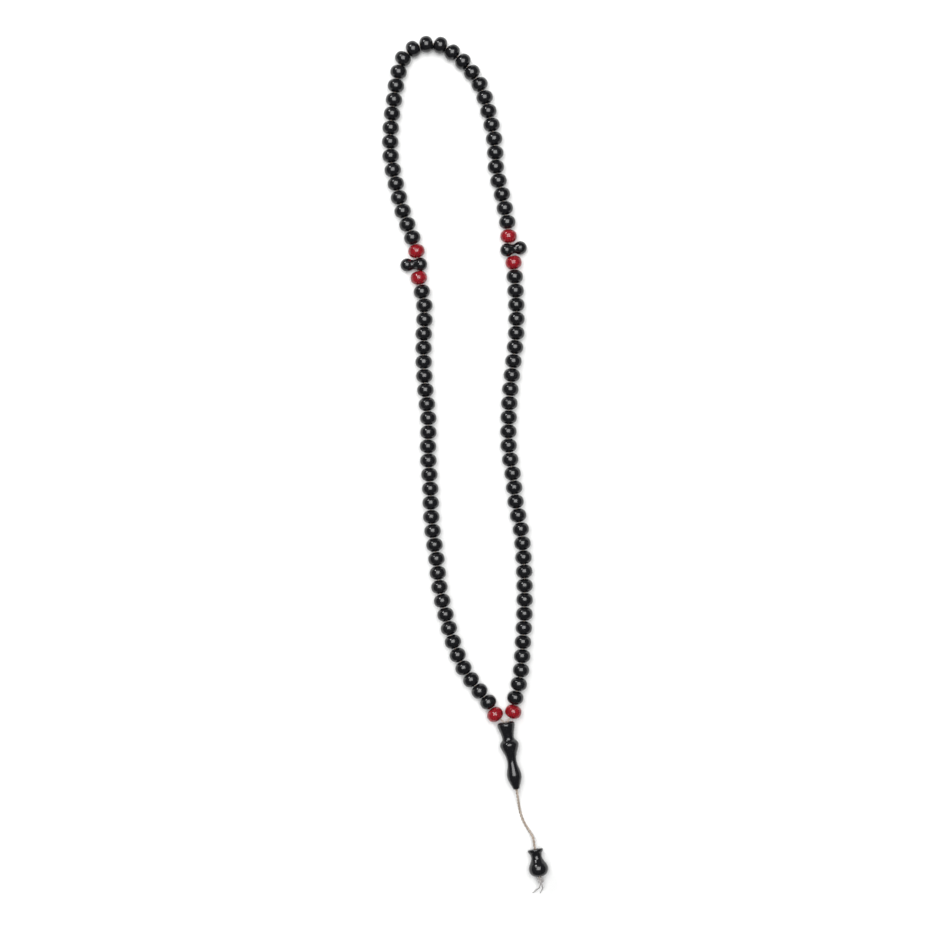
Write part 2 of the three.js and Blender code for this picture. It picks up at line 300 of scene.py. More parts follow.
def capped_solid(name: str, rings: np.ndarray, ends: np.ndarray, lengths: np.ndarray
                 ) -> bpy.types.Object:
    """Joins rings of points into a tube that a point closes at each end.

    Args:
        name: The object's name.
        rings: Points by ring, column and axis.
        ends: The closing point before the first ring and the one after the last.
        lengths: The length along the piece at each ring, which becomes V of its UVs.

    Returns:
        The object, with U once round and V in millimetres.
    """
    rows, columns = rings.shape[:2]
    points = np.vstack([rings.reshape(-1, 3), ends])
    quads = grid_faces(rows, columns, wrap_rows=False)
    j = np.arange(columns)
    beside, last_row = (j + 1) % columns, (rows - 1) * columns
    first, last = np.full(columns, rows * columns), np.full(columns, rows * columns + 1)
    caps = np.vstack([np.stack([first, beside, j], 1),
                      np.stack([last, last_row + j, last_row + beside], 1)])
    u, u_next = j / columns, (j + 1) / columns
    low, high = np.repeat(lengths[:-1], columns), np.repeat(lengths[1:], columns)
    around, around_next = np.tile(u, rows - 1), np.tile(u_next, rows - 1)
    quad_uv = np.stack([np.stack([around, low], 1), np.stack([around_next, low], 1),
                        np.stack([around_next, high], 1), np.stack([around, high], 1)], 1)
    near, far = np.full(columns, lengths[0]), np.full(columns, lengths[-1])
    cap_uv = np.vstack([
        np.stack([np.stack([u, near], 1), np.stack([u_next, near], 1), np.stack([u, near], 1)], 1),
        np.stack([np.stack([u, far], 1), np.stack([u, far], 1), np.stack([u_next, far], 1)], 1),
    ])
    if not faces_out(quads, points):
        quads, caps = quads[:, ::-1], caps[:, ::-1]
        quad_uv, cap_uv = quad_uv[:, ::-1], cap_uv[:, ::-1]
    uv = np.vstack([quad_uv.reshape(-1, 2), cap_uv.reshape(-1, 2)])
    return build_mesh(name, points, [*quads.tolist(), *caps.tolist()], uv)


def circles(outline: np.ndarray, start: np.ndarray, direction: np.ndarray, columns: int,
            turn: float = 0.0, seam: float = 0.0) -> np.ndarray:
    """The circles that the points of an outline sweep round an axis.

    With a seam, the columns crowd together at two opposite sides, where a narrow bell
    curve raises the line that a two-part mould leaves.

    Args:
        outline: Rows of (distance along the axis, radius).
        start: Where the distance is zero.
        direction: The axis, pointing the way that distance grows.
        columns: Points round each circle.
        turn: Where the first column starts, in radians.
        seam: Height of the mould line.

    Returns:
        Points by row of the outline, column and axis.
    """
    along, side, top = axes_along(direction)
    angle = np.linspace(0, 2 * math.pi, columns, endpoint=False)
    if seam:
        angle = angle - SEAM_CROWDING * np.sin(2 * angle)
    ridge = seam * np.exp(-((np.sin(angle) / SEAM_SPREAD) ** 2))
    angle = angle + turn
    ring = np.cos(angle)[:, None] * top + np.sin(angle)[:, None] * side
    radius = outline[:, 1:] + ridge[None, :]
    return start + outline[:, :1, None] * along + radius[..., None] * ring[None]


def smooth_profile(knots: Sequence[tuple[float, float]], steps: int) -> np.ndarray:
    """A smooth outline through (radius, distance) knots, as rows of (distance, radius)."""
    route = ThreadRoute(np.array(knots, float), samples=20)
    return route.at(np.linspace(0, route.length, steps))[:, ::-1]


def bored(outside: np.ndarray, hole: float, lip: float, steps: int = 8) -> np.ndarray:
    """Closes an outside outline through a straight hole with rounded lips.

    Args:
        outside: Rows of (distance, radius) from one end face to the other.
        hole: The hole's radius.
        lip: How far each lip is rounded.
        steps: Points along the hole.

    Returns:
        The closed outline. Its last row joins its first.
    """
    (start, _), (end, _) = outside[0], outside[-1]
    sign = math.copysign(1.0, end - start)
    wall = np.linspace(end - sign * lip, start + sign * lip, steps)
    lips = ([end, hole + lip], [end - sign * 0.3 * lip, hole + 0.3 * lip])
    back = ([start + sign * 0.3 * lip, hole + 0.3 * lip], [start, hole + lip])
    return np.vstack([outside, lips, np.stack([wall, np.full(steps, hole)], 1), back])


def sweep(name: str, route: ThreadRoute, span: tuple[float, float], section: np.ndarray,
          twist: float, steps: int, taper: float = 0.4) -> bpy.types.Object:
    """Carries a section along part of a route, turning it as it goes.

    Args:
        name: The object's name.
        route: The centreline.
        span: The lengths along the route where the piece starts and ends.
        section: The section's radius at equal angles round it.
        twist: Radians that the section turns in each millimetre.
        steps: Rings from end to end.
        taper: The share of the radius that is lost at the two ends, to round them.

    Returns:
        The tube, closed at both ends.
    """
    lengths = np.linspace(*span, steps)
    middle, along = route.at(lengths), route.direction(lengths)
    side = unit(np.cross(along, UP))
    top = np.cross(side, along)
    angle = np.linspace(0, 2 * math.pi, len(section), endpoint=False)[None, :]
    angle = angle + twist * lengths[:, None]
    edge = np.minimum(np.arange(steps), np.arange(steps)[::-1])
    reach = np.where(edge == 0, 1 - taper, 1.0)[:, None] * section[None, :]
    rings = (middle[:, None, :] + (reach * np.cos(angle))[..., None] * top[:, None, :]
             + (reach * np.sin(angle))[..., None] * side[:, None, :])
    return capped_solid(name, rings, middle[[0, -1]], lengths)


def strand(radius: float, columns: int = 12) -> np.ndarray:
    """The section of one round strand."""
    return np.full(columns, radius)


def two_strands(radius: float, spacing: float, columns: int = 28) -> np.ndarray:
    """The section of two round strands side by side.

    Each half is the far side of a circle whose middle is off to one side, so the outline
    dips to a groove where the strands meet.
    """
    angle = np.linspace(0, 2 * math.pi, columns, endpoint=False)
    across = spacing * np.abs(np.cos(angle))
    return across + np.sqrt(radius**2 - (spacing * np.sin(angle)) ** 2)


# ---------------------------------------------------------------- node groups


class Group:
    """A shader node group with named sockets, built once and placed in many materials."""

    def __init__(self, name: str, inputs: dict[str, float | tuple], outputs: dict[str, str]
                 ) -> None:
        """Makes the empty group.

        Args:
            name: The group's name.
            inputs: Each input's default. A tuple is a colour.
            outputs: Each output's kind, "Float" or "Color".
        """
        self.tree = bpy.data.node_groups.new(name, "ShaderNodeTree")
        for label, value in inputs.items():
            kind = "NodeSocketColor" if isinstance(value, tuple) else "NodeSocketFloat"
            socket = self.tree.interface.new_socket(label, in_out="INPUT", socket_type=kind)
            socket.default_value = value
        for label, kind in outputs.items():
            self.tree.interface.new_socket(label, in_out="OUTPUT", socket_type=f"NodeSocket{kind}")
        self.given = self.tree.nodes.new("NodeGroupInput").outputs
        self.result = self.tree.nodes.new("NodeGroupOutput").inputs

    def node(self, kind: str, **settings: object) -> bpy.types.ShaderNode:
        """Adds a node and sets its properties."""
        return add_node(self.tree, kind, **settings)

    def link(self, start: object, end: object) -> None:
        """Joins two sockets."""
        self.tree.links.new(start, end)

    def math(self, operation: str, first: object, second: object = 0.5) -> object:
        """Adds a Math node on two sockets or numbers and returns its result socket."""
        node = self.node("ShaderNodeMath", operation=operation)
        for socket, value in zip(node.inputs, (first, second)):
            self.feed(value, socket)
        return node.outputs[0]

    def feed(self, value: object, socket: object) -> None:
        """Sets an input to a number, or joins a socket to it."""
        if isinstance(value, (int, float)):
            socket.default_value = value
        else:
            self.link(value, socket)

    def noise(self, place: object, scale: object, detail: float, roughness: float = 0.5
              ) -> object:
        """Adds a noise at a place and returns its value socket."""
        node = self.node("ShaderNodeTexNoise")
        self.link(place, node.inputs["Vector"])
        for label, value in (("Scale", scale), ("Detail", detail), ("Roughness", roughness)):
            self.feed(value, node.inputs[label])
        return node.outputs["Fac"]

    def mix(self, share: object, first: object, second: object) -> object:
        """Mixes two colour sockets by a share and returns the result socket."""
        node = self.node("ShaderNodeMix", data_type="RGBA")
        for label, value in (("Factor", share), ("A", first), ("B", second)):
            self.link(value, node.inputs[label])
        return node.outputs["Result"]


def add_node(tree: bpy.types.NodeTree, kind: str, **settings: object) -> bpy.types.ShaderNode:
    """Adds a node to a tree and sets its properties."""
    node = tree.nodes.new(kind)
    for key, value in settings.items():
        setattr(node, key, value)
    return node


def wear_group() -> bpy.types.NodeTree:
    """Handling wear of smooth plastic.

    Roughness is a mean that two sizes of noise raise and lower, as finger marks do, and
    fine scratches, which are thin crests of a stretched noise, raise it further and cut
    into the height.
    """
    group = Group("handling_wear", {"Scale": 300.0, "Roughness": 0.2, "Smears": 0.1,
                                    "Scratches": 0.2}, {"Roughness": "Float", "Height": "Float"})
    place = group.node("ShaderNodeTexCoord").outputs["Object"]
    smear = group.noise(place, group.given["Scale"], detail=5.0, roughness=0.6)
    stretch = group.node("ShaderNodeMapping")
    stretch.inputs["Rotation"].default_value = (0.5, 0.3, 0.9)
    stretch.inputs["Scale"].default_value = (0.35, 3.0, 1.2)
    group.link(place, stretch.inputs["Vector"])
    finer = group.math("MULTIPLY", group.given["Scale"], 4.0)
    lines = group.noise(stretch.outputs[0], finer, detail=3.0)
    crest = group.math("ABSOLUTE", group.math("SUBTRACT", lines, 0.5))
    line = group.math("MAXIMUM", group.math("SUBTRACT", 1.0, group.math("MULTIPLY", crest, 45.0)),
                      0.0)
    marks = group.math("MULTIPLY", line, group.given["Scratches"])
    swing = group.math("MULTIPLY", group.math("SUBTRACT", smear, 0.5), group.given["Smears"])
    swing = group.math("MULTIPLY", swing, 4.0)
    rough = group.math("ADD", group.given["Roughness"], swing)
    rough = group.math("ADD", rough, group.math("MULTIPLY", marks, 0.35))
    group.link(rough, group.result["Roughness"])
    height = group.math("SUBTRACT", group.math("MULTIPLY", smear, 0.15), marks)
    group.link(height, group.result["Height"])
    return group.tree


def dust_group() -> bpy.types.NodeTree:
    """Fine pale dust over a colour.

    Specks are where a fine noise passes a limit, and they thin out where a broad noise is
    low, so some beads carry more than others. The colour itself drifts a little.
    """
    group = Group("fine_dust", {"Body": (0.0, 0.0, 0.0, 1.0), "Depth": (0.0, 0.0, 0.0, 1.0),
                                "Dust": (0.4, 0.38, 0.35, 1.0), "Amount": 0.2, "Scale": 900.0},
                  {"Color": "Color"})
    place = group.node("ShaderNodeTexCoord").outputs["Object"]
    broad = group.noise(place, 140.0, detail=2.0)
    fine = group.noise(place, group.given["Scale"], detail=2.0)
    specks = group.math("MULTIPLY", group.math("SUBTRACT", fine, 0.62), 12.0)
    specks = group.math("MINIMUM", group.math("MAXIMUM", specks, 0.0), 1.0)
    share = group.math("MULTIPLY", group.math("MULTIPLY", specks, broad), group.given["Amount"])
    drift = group.mix(broad, group.given["Body"], group.given["Depth"])
    group.link(group.mix(share, drift, group.given["Dust"]), group.result["Color"])
    return group.tree


def ply_group() -> bpy.types.NodeTree:
    """The lay of twisted yarn.

    A sine over U and V runs round the strand as a helix, which gives the plies their
    rounded backs, and it also darkens the colour towards the grooves between the plies,
    which is painted shade. A finer one inside it and a stretched noise give single fibres.
    """
    # Dark is the colour of the painted shade in the grooves between plies and of darker fibres.
    group = Group("twisted_yarn", {"Plies": 3.0, "Turns": 0.6, "Light": (0.5, 0.45, 0.4, 1.0),
                                   "Dark": (0.2, 0.16, 0.13, 1.0)},
                  {"Color": "Color", "Height": "Float"})
    uv = group.node("ShaderNodeUVMap", uv_map=UV_NAME)
    split = group.node("ShaderNodeSeparateXYZ")
    group.link(uv.outputs[0], split.inputs[0])
    around = group.math("MULTIPLY", split.outputs["X"], group.given["Plies"])
    along = group.math("MULTIPLY", split.outputs["Y"], group.given["Turns"])
    helix = group.math("MULTIPLY", group.math("ADD", around, along), 2 * math.pi)
    ply = group.math("ABSOLUTE", group.math("SINE", group.math("MULTIPLY", helix, 0.5)))
    fibre = group.math("SINE", group.math("MULTIPLY", helix, 7.0))
    place = group.node("ShaderNodeTexCoord").outputs["Object"]
    fuzz = group.noise(place, 3500.0, detail=3.0)
    # Colour tone: the ply sine paints shade into the grooves between plies, and the fuzz noise and
    # fibre sine vary the tone of single fibres.
    tone = group.math("ADD", group.math("MULTIPLY", ply, 0.7), group.math("MULTIPLY", fuzz, 0.45))
    tone = group.math("MINIMUM", group.math("ADD", tone, group.math("MULTIPLY", fibre, 0.06)), 1.0)
    shade = group.mix(tone, group.given["Dark"], group.given["Light"])
    group.link(shade, group.result["Color"])
    group.link(tone, group.result["Height"])
    return group.tree


# ---------------------------------------------------------------- finishes


def place_group(tree: bpy.types.NodeTree, group: bpy.types.NodeTree, **values: object
                ) -> bpy.types.ShaderNode:
    """Places a node group in a material's tree with its own values."""
    node = add_node(tree, "ShaderNodeGroup", node_tree=group)
    for label, value in values.items():
        node.inputs[label].default_value = value
    return node


def new_material(name: str, plain: dict[str, object]) -> tuple[bpy.types.Material, object]:
    """A material with a Principled shader.

    Args:
        name: The material's name.
        plain: Values that are the same all over, by the shader's socket.

    Returns:
        The material and its shader node.
    """
    material = bpy.data.materials.new(name)
    material.use_nodes = True
    shader = material.node_tree.nodes["Principled BSDF"]
    for label, value in plain.items():
        shader.inputs[label].default_value = value
    return material, shader


def raise_height(tree: bpy.types.NodeTree, height: object, shader: object, distance: float,
                 strength: float) -> None:
    """Feeds a height to a shader's normal through a Bump node."""
    bump = add_node(tree, "ShaderNodeBump")
    bump.inputs["Distance"].default_value = distance
    bump.inputs["Strength"].default_value = strength
    tree.links.new(height, bump.inputs["Height"])
    tree.links.new(bump.outputs[0], shader.inputs["Normal"])


@dataclass(frozen=True)
class BeadPlastic:
    """Moulded plastic for beads, black or see-through."""

    name: str
    body: tuple[float, float, float, float]
    depth: tuple[float, float, float, float]
    roughness: float
    smears: float
    scratches: float
    dust: float
    see_through: float = 0.0
    refraction: float = 1.5
    wear_scale: float = 420.0
    dust_scale: float = 2600.0

    def make(self, wear: bpy.types.NodeTree, dust: bpy.types.NodeTree) -> bpy.types.Material:
        """Builds the material from the wear and dust groups."""
        material, shader = new_material(self.name, {
            "IOR": self.refraction, "Transmission Weight": self.see_through,
            "Specular IOR Level": 0.5,
        })
        tree = material.node_tree
        worn = place_group(tree, wear, Scale=self.wear_scale, Roughness=self.roughness,
                           Smears=self.smears, Scratches=self.scratches)
        tinted = place_group(tree, dust, Body=self.body, Depth=self.depth, Amount=self.dust,
                             Scale=self.dust_scale)
        tree.links.new(tinted.outputs["Color"], shader.inputs["Base Color"])
        tree.links.new(worn.outputs["Roughness"], shader.inputs["Roughness"])
        raise_height(tree, worn.outputs["Height"], shader, distance=0.00002, strength=0.35)
        return material


@dataclass(frozen=True)
class YarnFinish:
    """Twisted yarn, dull and slightly hairy, whose colour has painted shade in the grooves between
    the plies.
    """

    name: str
    light: tuple[float, float, float, float]
    # The colour of the painted shade in the grooves between plies, and of darker fibres.
    dark: tuple[float, float, float, float]
    plies: float
    turns: float

    def make(self, yarn: bpy.types.NodeTree) -> bpy.types.Material:
        """Builds the material from the yarn group."""
        material, shader = new_material(self.name, {
            "Roughness": 0.82, "Sheen Weight": 0.35, "Sheen Roughness": 0.5,
            "Specular IOR Level": 0.25,
        })
        tree = material.node_tree
        lay = place_group(tree, yarn, Plies=self.plies, Turns=self.turns, Light=self.light,
                          Dark=self.dark)
        tree.links.new(lay.outputs["Color"], shader.inputs["Base Color"])
        raise_height(tree, lay.outputs["Height"], shader, distance=0.00009, strength=0.8)
        return material


BLACK = BeadPlastic("black_bead_plastic", (0.003, 0.003, 0.0036, 1.0),
                    (0.007, 0.007, 0.0085, 1.0), roughness=0.16, smears=0.06, scratches=0.35,
                    dust=0.12)
RED = BeadPlastic("red_bead_plastic", (0.34, 0.008, 0.018, 1.0), (0.50, 0.022, 0.034, 1.0),
                  roughness=0.14, smears=0.04, scratches=0.25, dust=0.06, see_through=0.6,
                  refraction=1.49)
# Each yarn's second colour is the painted shade in the grooves between plies, and the colour of
# darker fibres.
YARN = YarnFinish("beige_yarn", (0.46, 0.385, 0.32, 1.0), (0.16, 0.12, 0.095, 1.0),
                  plies=2.0, turns=0.55)
ENDS = YarnFinish("grey_yarn", (0.44, 0.42, 0.41, 1.0), (0.20, 0.185, 0.18, 1.0),
                  plies=2.0, turns=0.9)


class Finishes:
    """The materials, each built once."""

    def __init__(self) -> None:
        """Builds the node groups and the materials that place them."""
        wear, dust, yarn = wear_group(), dust_group(), ply_group()
        self.black = BLACK.make(wear, dust)
        self.red = RED.make(wear, dust)
        self.yarn = YARN.make(yarn)
        self.ends = ENDS.make(yarn)


def finish_piece(piece: bpy.types.Object, material: bpy.types.Material) -> None:
    """Gives a piece its material."""
    piece.data.materials.append(material)


# ---------------------------------------------------------------- the layout of the string


@dataclass(frozen=True)
class Run:
    """Beads that lie side by side on one body, by their numbers along the thread."""

    node: str
    body: str
    beads: tuple[int, ...]


class Layout:
    """Where every bead sits on the loop, and which body it belongs to."""

    def __init__(self, bodies: dict[str, list[str]]) -> None:
        """Spaces the beads evenly along the loop, with a wider gap at each divider.

        Args:
            bodies: The frame's bodies and their nodes.
        """
        ends = {0, len(LOOP_ROUTE) - 1}
        points = [(x, y, LEADER_HEIGHT if i in ends else BEAD_HEIGHT)
                  for i, (x, y) in enumerate(LOOP_ROUTE)]
        self.route = ThreadRoute(np.array(points))
        self.count = 3 * BEADS_PER_THIRD + 6
        self.left_lower = BEADS_PER_THIRD + 1
        self.left_upper = self.left_lower + 1
        self.right_upper = self.left_upper + BEADS_PER_THIRD + 1
        self.right_lower = self.right_upper + 1
        first = self.route.length_at(1)
        last = self.route.length_at(len(LOOP_ROUTE) - 2)
        pitch = (last - first - 2 * DIVIDER_SPAN) / (self.count - 3)
        number = np.arange(self.count)
        passed = (number >= self.left_upper).astype(int) + (number >= self.right_lower)
        self.lengths = first + number * pitch + passed * (DIVIDER_SPAN - pitch)
        self.body_of = {node: body for body, nodes in bodies.items() for node in nodes}
        left = self._third("beads_left", 1, 1, backwards=False)
        top = self._third("beads_top", self.left_upper + 1, TOP_TRIPLE, backwards=False)
        right = self._third("beads_right", self.right_lower + 1, 1, backwards=True)
        self.black_runs = [*left, *top, *right]
        reds = {
            "red_bead_left_base": 0, "red_bead_left_lower": self.left_lower,
            "red_bead_left_upper": self.left_upper, "red_bead_right_upper": self.right_upper,
            "red_bead_right_lower": self.right_lower, "red_bead_right_base": self.count - 1,
        }
        self.red_runs = {node: Run(node, self.body_of[node], (n,)) for node, n in reds.items()}
        red = self.red_runs
        self.left_chain = [red["red_bead_left_base"], *left, red["red_bead_left_lower"],
                           red["red_bead_left_upper"], *top[:TOP_TRIPLE]]
        self.right_chain = [red["red_bead_right_base"], *right, red["red_bead_right_lower"],
                            red["red_bead_right_upper"], *top[:TOP_TRIPLE - 1:-1]]

    def _third(self, prefix: str, first: int, triple: int, backwards: bool) -> list[Run]:
        """Splits a third into pairs and one run of three.

        Args:
            prefix: What the nodes' names start with.
            first: The lowest bead number in the third.
            triple: Which run holds three beads.
            backwards: True if the runs count down from the highest bead number.

        Returns:
            The runs in the order of their names.
        """
        runs, taken = [], 0
        for index in range(1, RUNS_PER_THIRD + 1):
            count = 3 if index == triple else 2
            start = first + BEADS_PER_THIRD - taken - count if backwards else first + taken
            node = f"{prefix}_{index:02d}"
            runs.append(Run(node, self.body_of[node], tuple(range(start, start + count))))
            taken += count
        return runs

    def middle(self, length: float) -> np.ndarray:
        """A place on the thread, at the height of the beads' middles."""
        return np.array([*self.route.at(length)[:2], BEAD_HEIGHT])

    def heading(self, length: float) -> np.ndarray:
        """The thread's level direction at a length."""
        return unit(self.route.direction(length) * (1, 1, 0))


# ---------------------------------------------------------------- pieces


@dataclass
class BeadForm:
    """A plump moulded bead: a superellipse of revolution with flat ends and a fine seam."""

    radius: float = 3.45
    half_length: float = 2.8
    face_radius: float = 1.15
    hole_radius: float = 0.55
    lip: float = 0.14
    fullness: float = 2.3
    seam_height: float = 0.022
    seam_width: float = 0.07
    columns: int = 36

    def outline(self) -> np.ndarray:
        """The closed section.

        Outside, distance and radius are the cosine and sine of one angle, each raised to
        2 / fullness, and the seam is a low bell curve at the widest place.
        """
        power = 2 / self.fullness
        start = math.asin((self.face_radius / self.radius) ** (1 / power))
        angle = np.concatenate([np.linspace(start, 1.45, 11),
                                math.pi / 2 + np.array([-0.07, -0.035, 0, 0.035, 0.07]),
                                np.linspace(math.pi - 1.45, math.pi - start, 11)])
        distance = np.cos(angle)
        distance = self.half_length * np.sign(distance) * np.abs(distance) ** power
        radius = self.radius * np.sin(angle) ** power
        radius = radius + self.seam_height * np.exp(-((distance / self.seam_width) ** 2))
        return bored(np.stack([distance, radius], 1), self.hole_radius, self.lip, steps=4)


class BeadString:
    """The ninety-nine beads, each its own piece."""

    lean = 0.05
    shrink = 0.006

    def __init__(self, layout: Layout, finishes: Finishes) -> None:
        """Takes the layout and the materials."""
        self.layout = layout
        self.finishes = finishes
        self.form = BeadForm()
        self.chance = np.random.default_rng(SEED)

    def bead(self, name: str, number: int) -> bpy.types.Object:
        """Makes one bead round the thread, turned and sized a little by chance."""
        length = self.layout.lengths[number]
        heading = self.layout.heading(length)
        turn, lean, size = self.chance.uniform(-1, 1, 3)
        heading = unit(heading + self.lean * lean * np.cross(heading, UP))
        outline = self.form.outline() * np.array([1.0, 1.0 + self.shrink * (size - 1)])
        rings = circles(outline, self.layout.middle(length), heading, self.form.columns,
                        turn * math.pi)
        return ring_solid(name, rings)

    def build(self) -> None:
        """Makes the black runs, then the red beads."""
        counters: dict[str, int] = {}
        for run in self.layout.black_runs:
            third = run.node.rsplit("_", 1)[0].removeprefix("beads_")
            order = run.beads[::-1] if third == "right" else run.beads
            for number in order:
                counters[third] = counters.get(third, 0) + 1
                piece = self.bead(f"bead_{third}_{counters[third]:02d}", number)
                finish_piece(piece, self.finishes.black)
                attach(piece, run.body)
                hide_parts(run.node)
        for node, run in self.layout.red_runs.items():
            piece = self.bead(node.replace("red_bead", "bead_red"), run.beads[0])
            finish_piece(piece, self.finishes.red)
            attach(piece, run.body)
            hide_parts(node)
        LOG.info("%d black beads and %d red", sum(counters.values()), len(self.layout.red_runs))


class LoopThread:
    """The thread inside the loop, in short lengths that overlap where two bodies meet."""

    radius = 0.3
    overlap = 0.3
    steps_per_mm = 2.2

    def __init__(self, layout: Layout, finishes: Finishes) -> None:
        """Takes the layout and the materials."""
        self.layout = layout
        self.finishes = finishes
        self.made = 0

    def length_of(self, name: str, span: tuple[float, float]) -> bpy.types.Object:
        """Makes one length of thread and hides the frame's loop thread."""
        steps = max(6, int(self.steps_per_mm * abs(span[1] - span[0])))
        piece = sweep(name, self.layout.route, (min(span), max(span)), strand(self.radius), 0.0,
                      steps, taper=0.0)
        finish_piece(piece, self.finishes.yarn)
        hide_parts("loop_thread")
        self.made += 1
        return piece

    def run_middle(self, run: Run) -> float:
        """The length at the middle of a run of beads."""
        return float(self.layout.lengths[list(run.beads)].mean())

    def crossing(self, name: str, near: Run, far: Run) -> None:
        """Makes the thread from the middle of one run to the middle of the next.

        Where the runs are on two bodies it is two lengths, which overlap at the joint.
        """
        lengths = self.layout.lengths
        start, end = self.run_middle(near), self.run_middle(far)
        if end > start:
            joint = (lengths[near.beads[-1]] + lengths[far.beads[0]]) / 2
        else:
            joint = (lengths[near.beads[0]] + lengths[far.beads[-1]]) / 2
        if near.body == far.body:
            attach(self.length_of(name, (start, end)), near.body)
            return
        overlap = math.copysign(self.overlap, end - start)
        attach(self.length_of(f"{name}_near", (start, joint + overlap)), near.body)
        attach(self.length_of(f"{name}_far", (joint - overlap, end)), far.body)

    def build(self) -> None:
        """Makes both sides, then the two lengths that meet at the far end of the loop."""
        layout = self.layout
        for side, chain in (("left", layout.left_chain), ("right", layout.right_chain)):
            base = chain[0]
            route_end = 0.0 if side == "left" else layout.route.length
            piece = self.length_of(f"thread_{side}_00", (route_end, self.run_middle(base)))
            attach(piece, base.body)
            for index, (near, far) in enumerate(zip(chain, chain[1:]), start=1):
                self.crossing(f"thread_{side}_{index:02d}", near, far)
        left_end, right_end = layout.left_chain[-1], layout.right_chain[-1]
        meeting = layout.lengths[[left_end.beads[-1], right_end.beads[0]]].mean()
        for name, run in (("thread_meeting_left", left_end), ("thread_meeting_right", right_end)):
            piece = self.length_of(name, (self.run_middle(run), float(meeting)))
            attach(piece, run.body)
        LOG.info("%d lengths of loop thread", self.made)


def cut_away(piece: bpy.types.Object, cutter: bpy.types.Object) -> None:
    """Cuts one closed piece out of another and removes the cutter."""
    modifier = piece.modifiers.new("drill", "BOOLEAN")
    modifier.operation = "DIFFERENCE"
    modifier.solver = "EXACT"
    modifier.object = cutter
    graph = bpy.context.evaluated_depsgraph_get()
    cut = bpy.data.meshes.new_from_object(piece.evaluated_get(graph))
    piece.modifiers.clear()
    piece.data = cut
    cut.set_sharp_from_angle(angle=math.radians(SHARP_ANGLE))
    bpy.data.objects.remove(cutter)


@dataclass
class DividerForm:
    """Two round lobes joined by a waist, bored across between them."""

    lobe_radius: float = 2.75
    inner: float = 1.5
    outer: float = 4.2
    waist: float = 1.9
    waist_reach: float = 1.7
    hole_radius: float = 0.75
    seam: float = 0.02
    turn: float = 0.4
    rows: int = 54
    columns: int = 72
    hole_columns: int = 24

    def outline(self) -> np.ndarray:
        """Rows of (distance, radius): a sixth-power mean joins two circles and a waist."""
        share = np.linspace(0, math.pi, self.rows + 2)[1:-1]
        middle = (self.outer - self.inner) / 2
        half = (self.outer + self.inner) / 2 + self.lobe_radius
        distance = middle - half * np.cos(share)

        def lobe(place: float) -> np.ndarray:
            """The circle round one lobe's middle."""
            return np.sqrt(np.clip(self.lobe_radius**2 - (distance - place) ** 2, 0, None))

        fill = self.waist * np.exp(-(((distance - middle) / self.waist_reach) ** 4))
        radius = (lobe(-self.inner) ** 6 + lobe(self.outer) ** 6 + fill**6) ** (1 / 6)
        return np.stack([distance, radius], 1)


class Divider:
    """A divider bead, which hangs out from the loop and turns round the thread."""

    def __init__(self, side: Side, layout: Layout, finishes: Finishes) -> None:
        """Takes the side of the loop, the layout and the materials."""
        self.side = side
        self.layout = layout
        self.finishes = finishes
        self.form = DividerForm()

    def build(self) -> None:
        """Makes the lobes, drills them and finishes the piece."""
        layout, form = self.layout, self.form
        left = self.side is Side.LEFT
        near = layout.left_lower if left else layout.right_upper
        length = float(layout.lengths[near] + layout.lengths[near + 1]) / 2
        middle, heading = layout.middle(length), layout.heading(length)
        lean = math.asin((BEAD_HEIGHT - form.lobe_radius) / form.outer)
        outward = -np.cross(heading, UP)
        axis = outward * math.cos(lean) - UP * math.sin(lean)
        outline = form.outline()
        rings = circles(outline, middle, axis, form.columns, form.turn, form.seam)
        half = (form.outer + form.inner) / 2 + form.lobe_radius
        centre = (form.outer - form.inner) / 2
        ends = middle + np.array([[centre - half], [centre + half]]) * axis
        name = f"divider_{self.side.value}"
        piece = capped_solid(f"{name}_bead", rings, ends, outline[:, 0])
        reach = form.lobe_radius + 1
        drill = np.array([[-reach, form.hole_radius], [reach, form.hole_radius]])
        cutter = capped_solid(f"{name}_drill", circles(drill, middle, heading, form.hole_columns),
                              middle + np.array([[-reach], [reach]]) * heading, drill[:, 0])
        cut_away(piece, cutter)
        finish_piece(piece, self.finishes.black)
        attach(piece, name)
        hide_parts(name)
        LOG.info("%s divider", self.side.value)


class TurnedBead:
    """A bead turned to an outline, with a straight hole from end to end."""

    steps = 84
    columns = 88
    lip = 0.22
    turn = 0.75
    seam = 0.03

    def __init__(self, name: str, node: str, knots: Sequence[tuple[float, float]],
                 start: np.ndarray, end: np.ndarray, hole: float) -> None:
        """Takes the piece's name, its CAD node, its outline, its two ends and its hole."""
        self.name, self.node, self.knots = name, node, knots
        self.start, self.end, self.hole = start, end, hole

    def build(self, body: str, material: bpy.types.Material) -> bpy.types.Object:
        """Makes the bead on a body."""
        section = bored(smooth_profile(self.knots, self.steps), self.hole, self.lip)
        rings = circles(section, self.start, self.end - self.start, self.columns, self.turn,
                        self.seam)
        piece = ring_solid(self.name, rings)
        finish_piece(piece, material)
        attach(piece, body)
        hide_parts(self.node)
        LOG.info("%s", self.name)
        return piece


def join(name: str, parts: list[bpy.types.Object]) -> bpy.types.Object:
    """Joins objects that already sit in place into one."""
    with bpy.context.temp_override(active_object=parts[0], object=parts[0],
                                   selected_editable_objects=parts, selected_objects=parts):
        bpy.ops.object.join()
    parts[0].name = name
    parts[0].data.name = name
    return parts[0]


# Radius, then distance from the head.
LEADER_OUTLINE = (
    (1.55, 0.12), (2.6, 0.2), (3.3, 0.55), (3.62, 1.2), (3.5, 2.2), (3.1, 3.7), (2.65, 5.3),
    (2.45, 6.7), (2.65, 7.6), (3.4, 8.4), (3.85, 9.3), (3.78, 10.3), (3.25, 11.9), (2.6, 13.4),
    (2.1, 15.0), (1.95, 16.6), (2.15, 18.4), (2.7, 20.4), (3.0, 22.0), (2.85, 23.8), (2.2, 25.7),
    (1.55, 27.3), (1.25, 28.1),
)
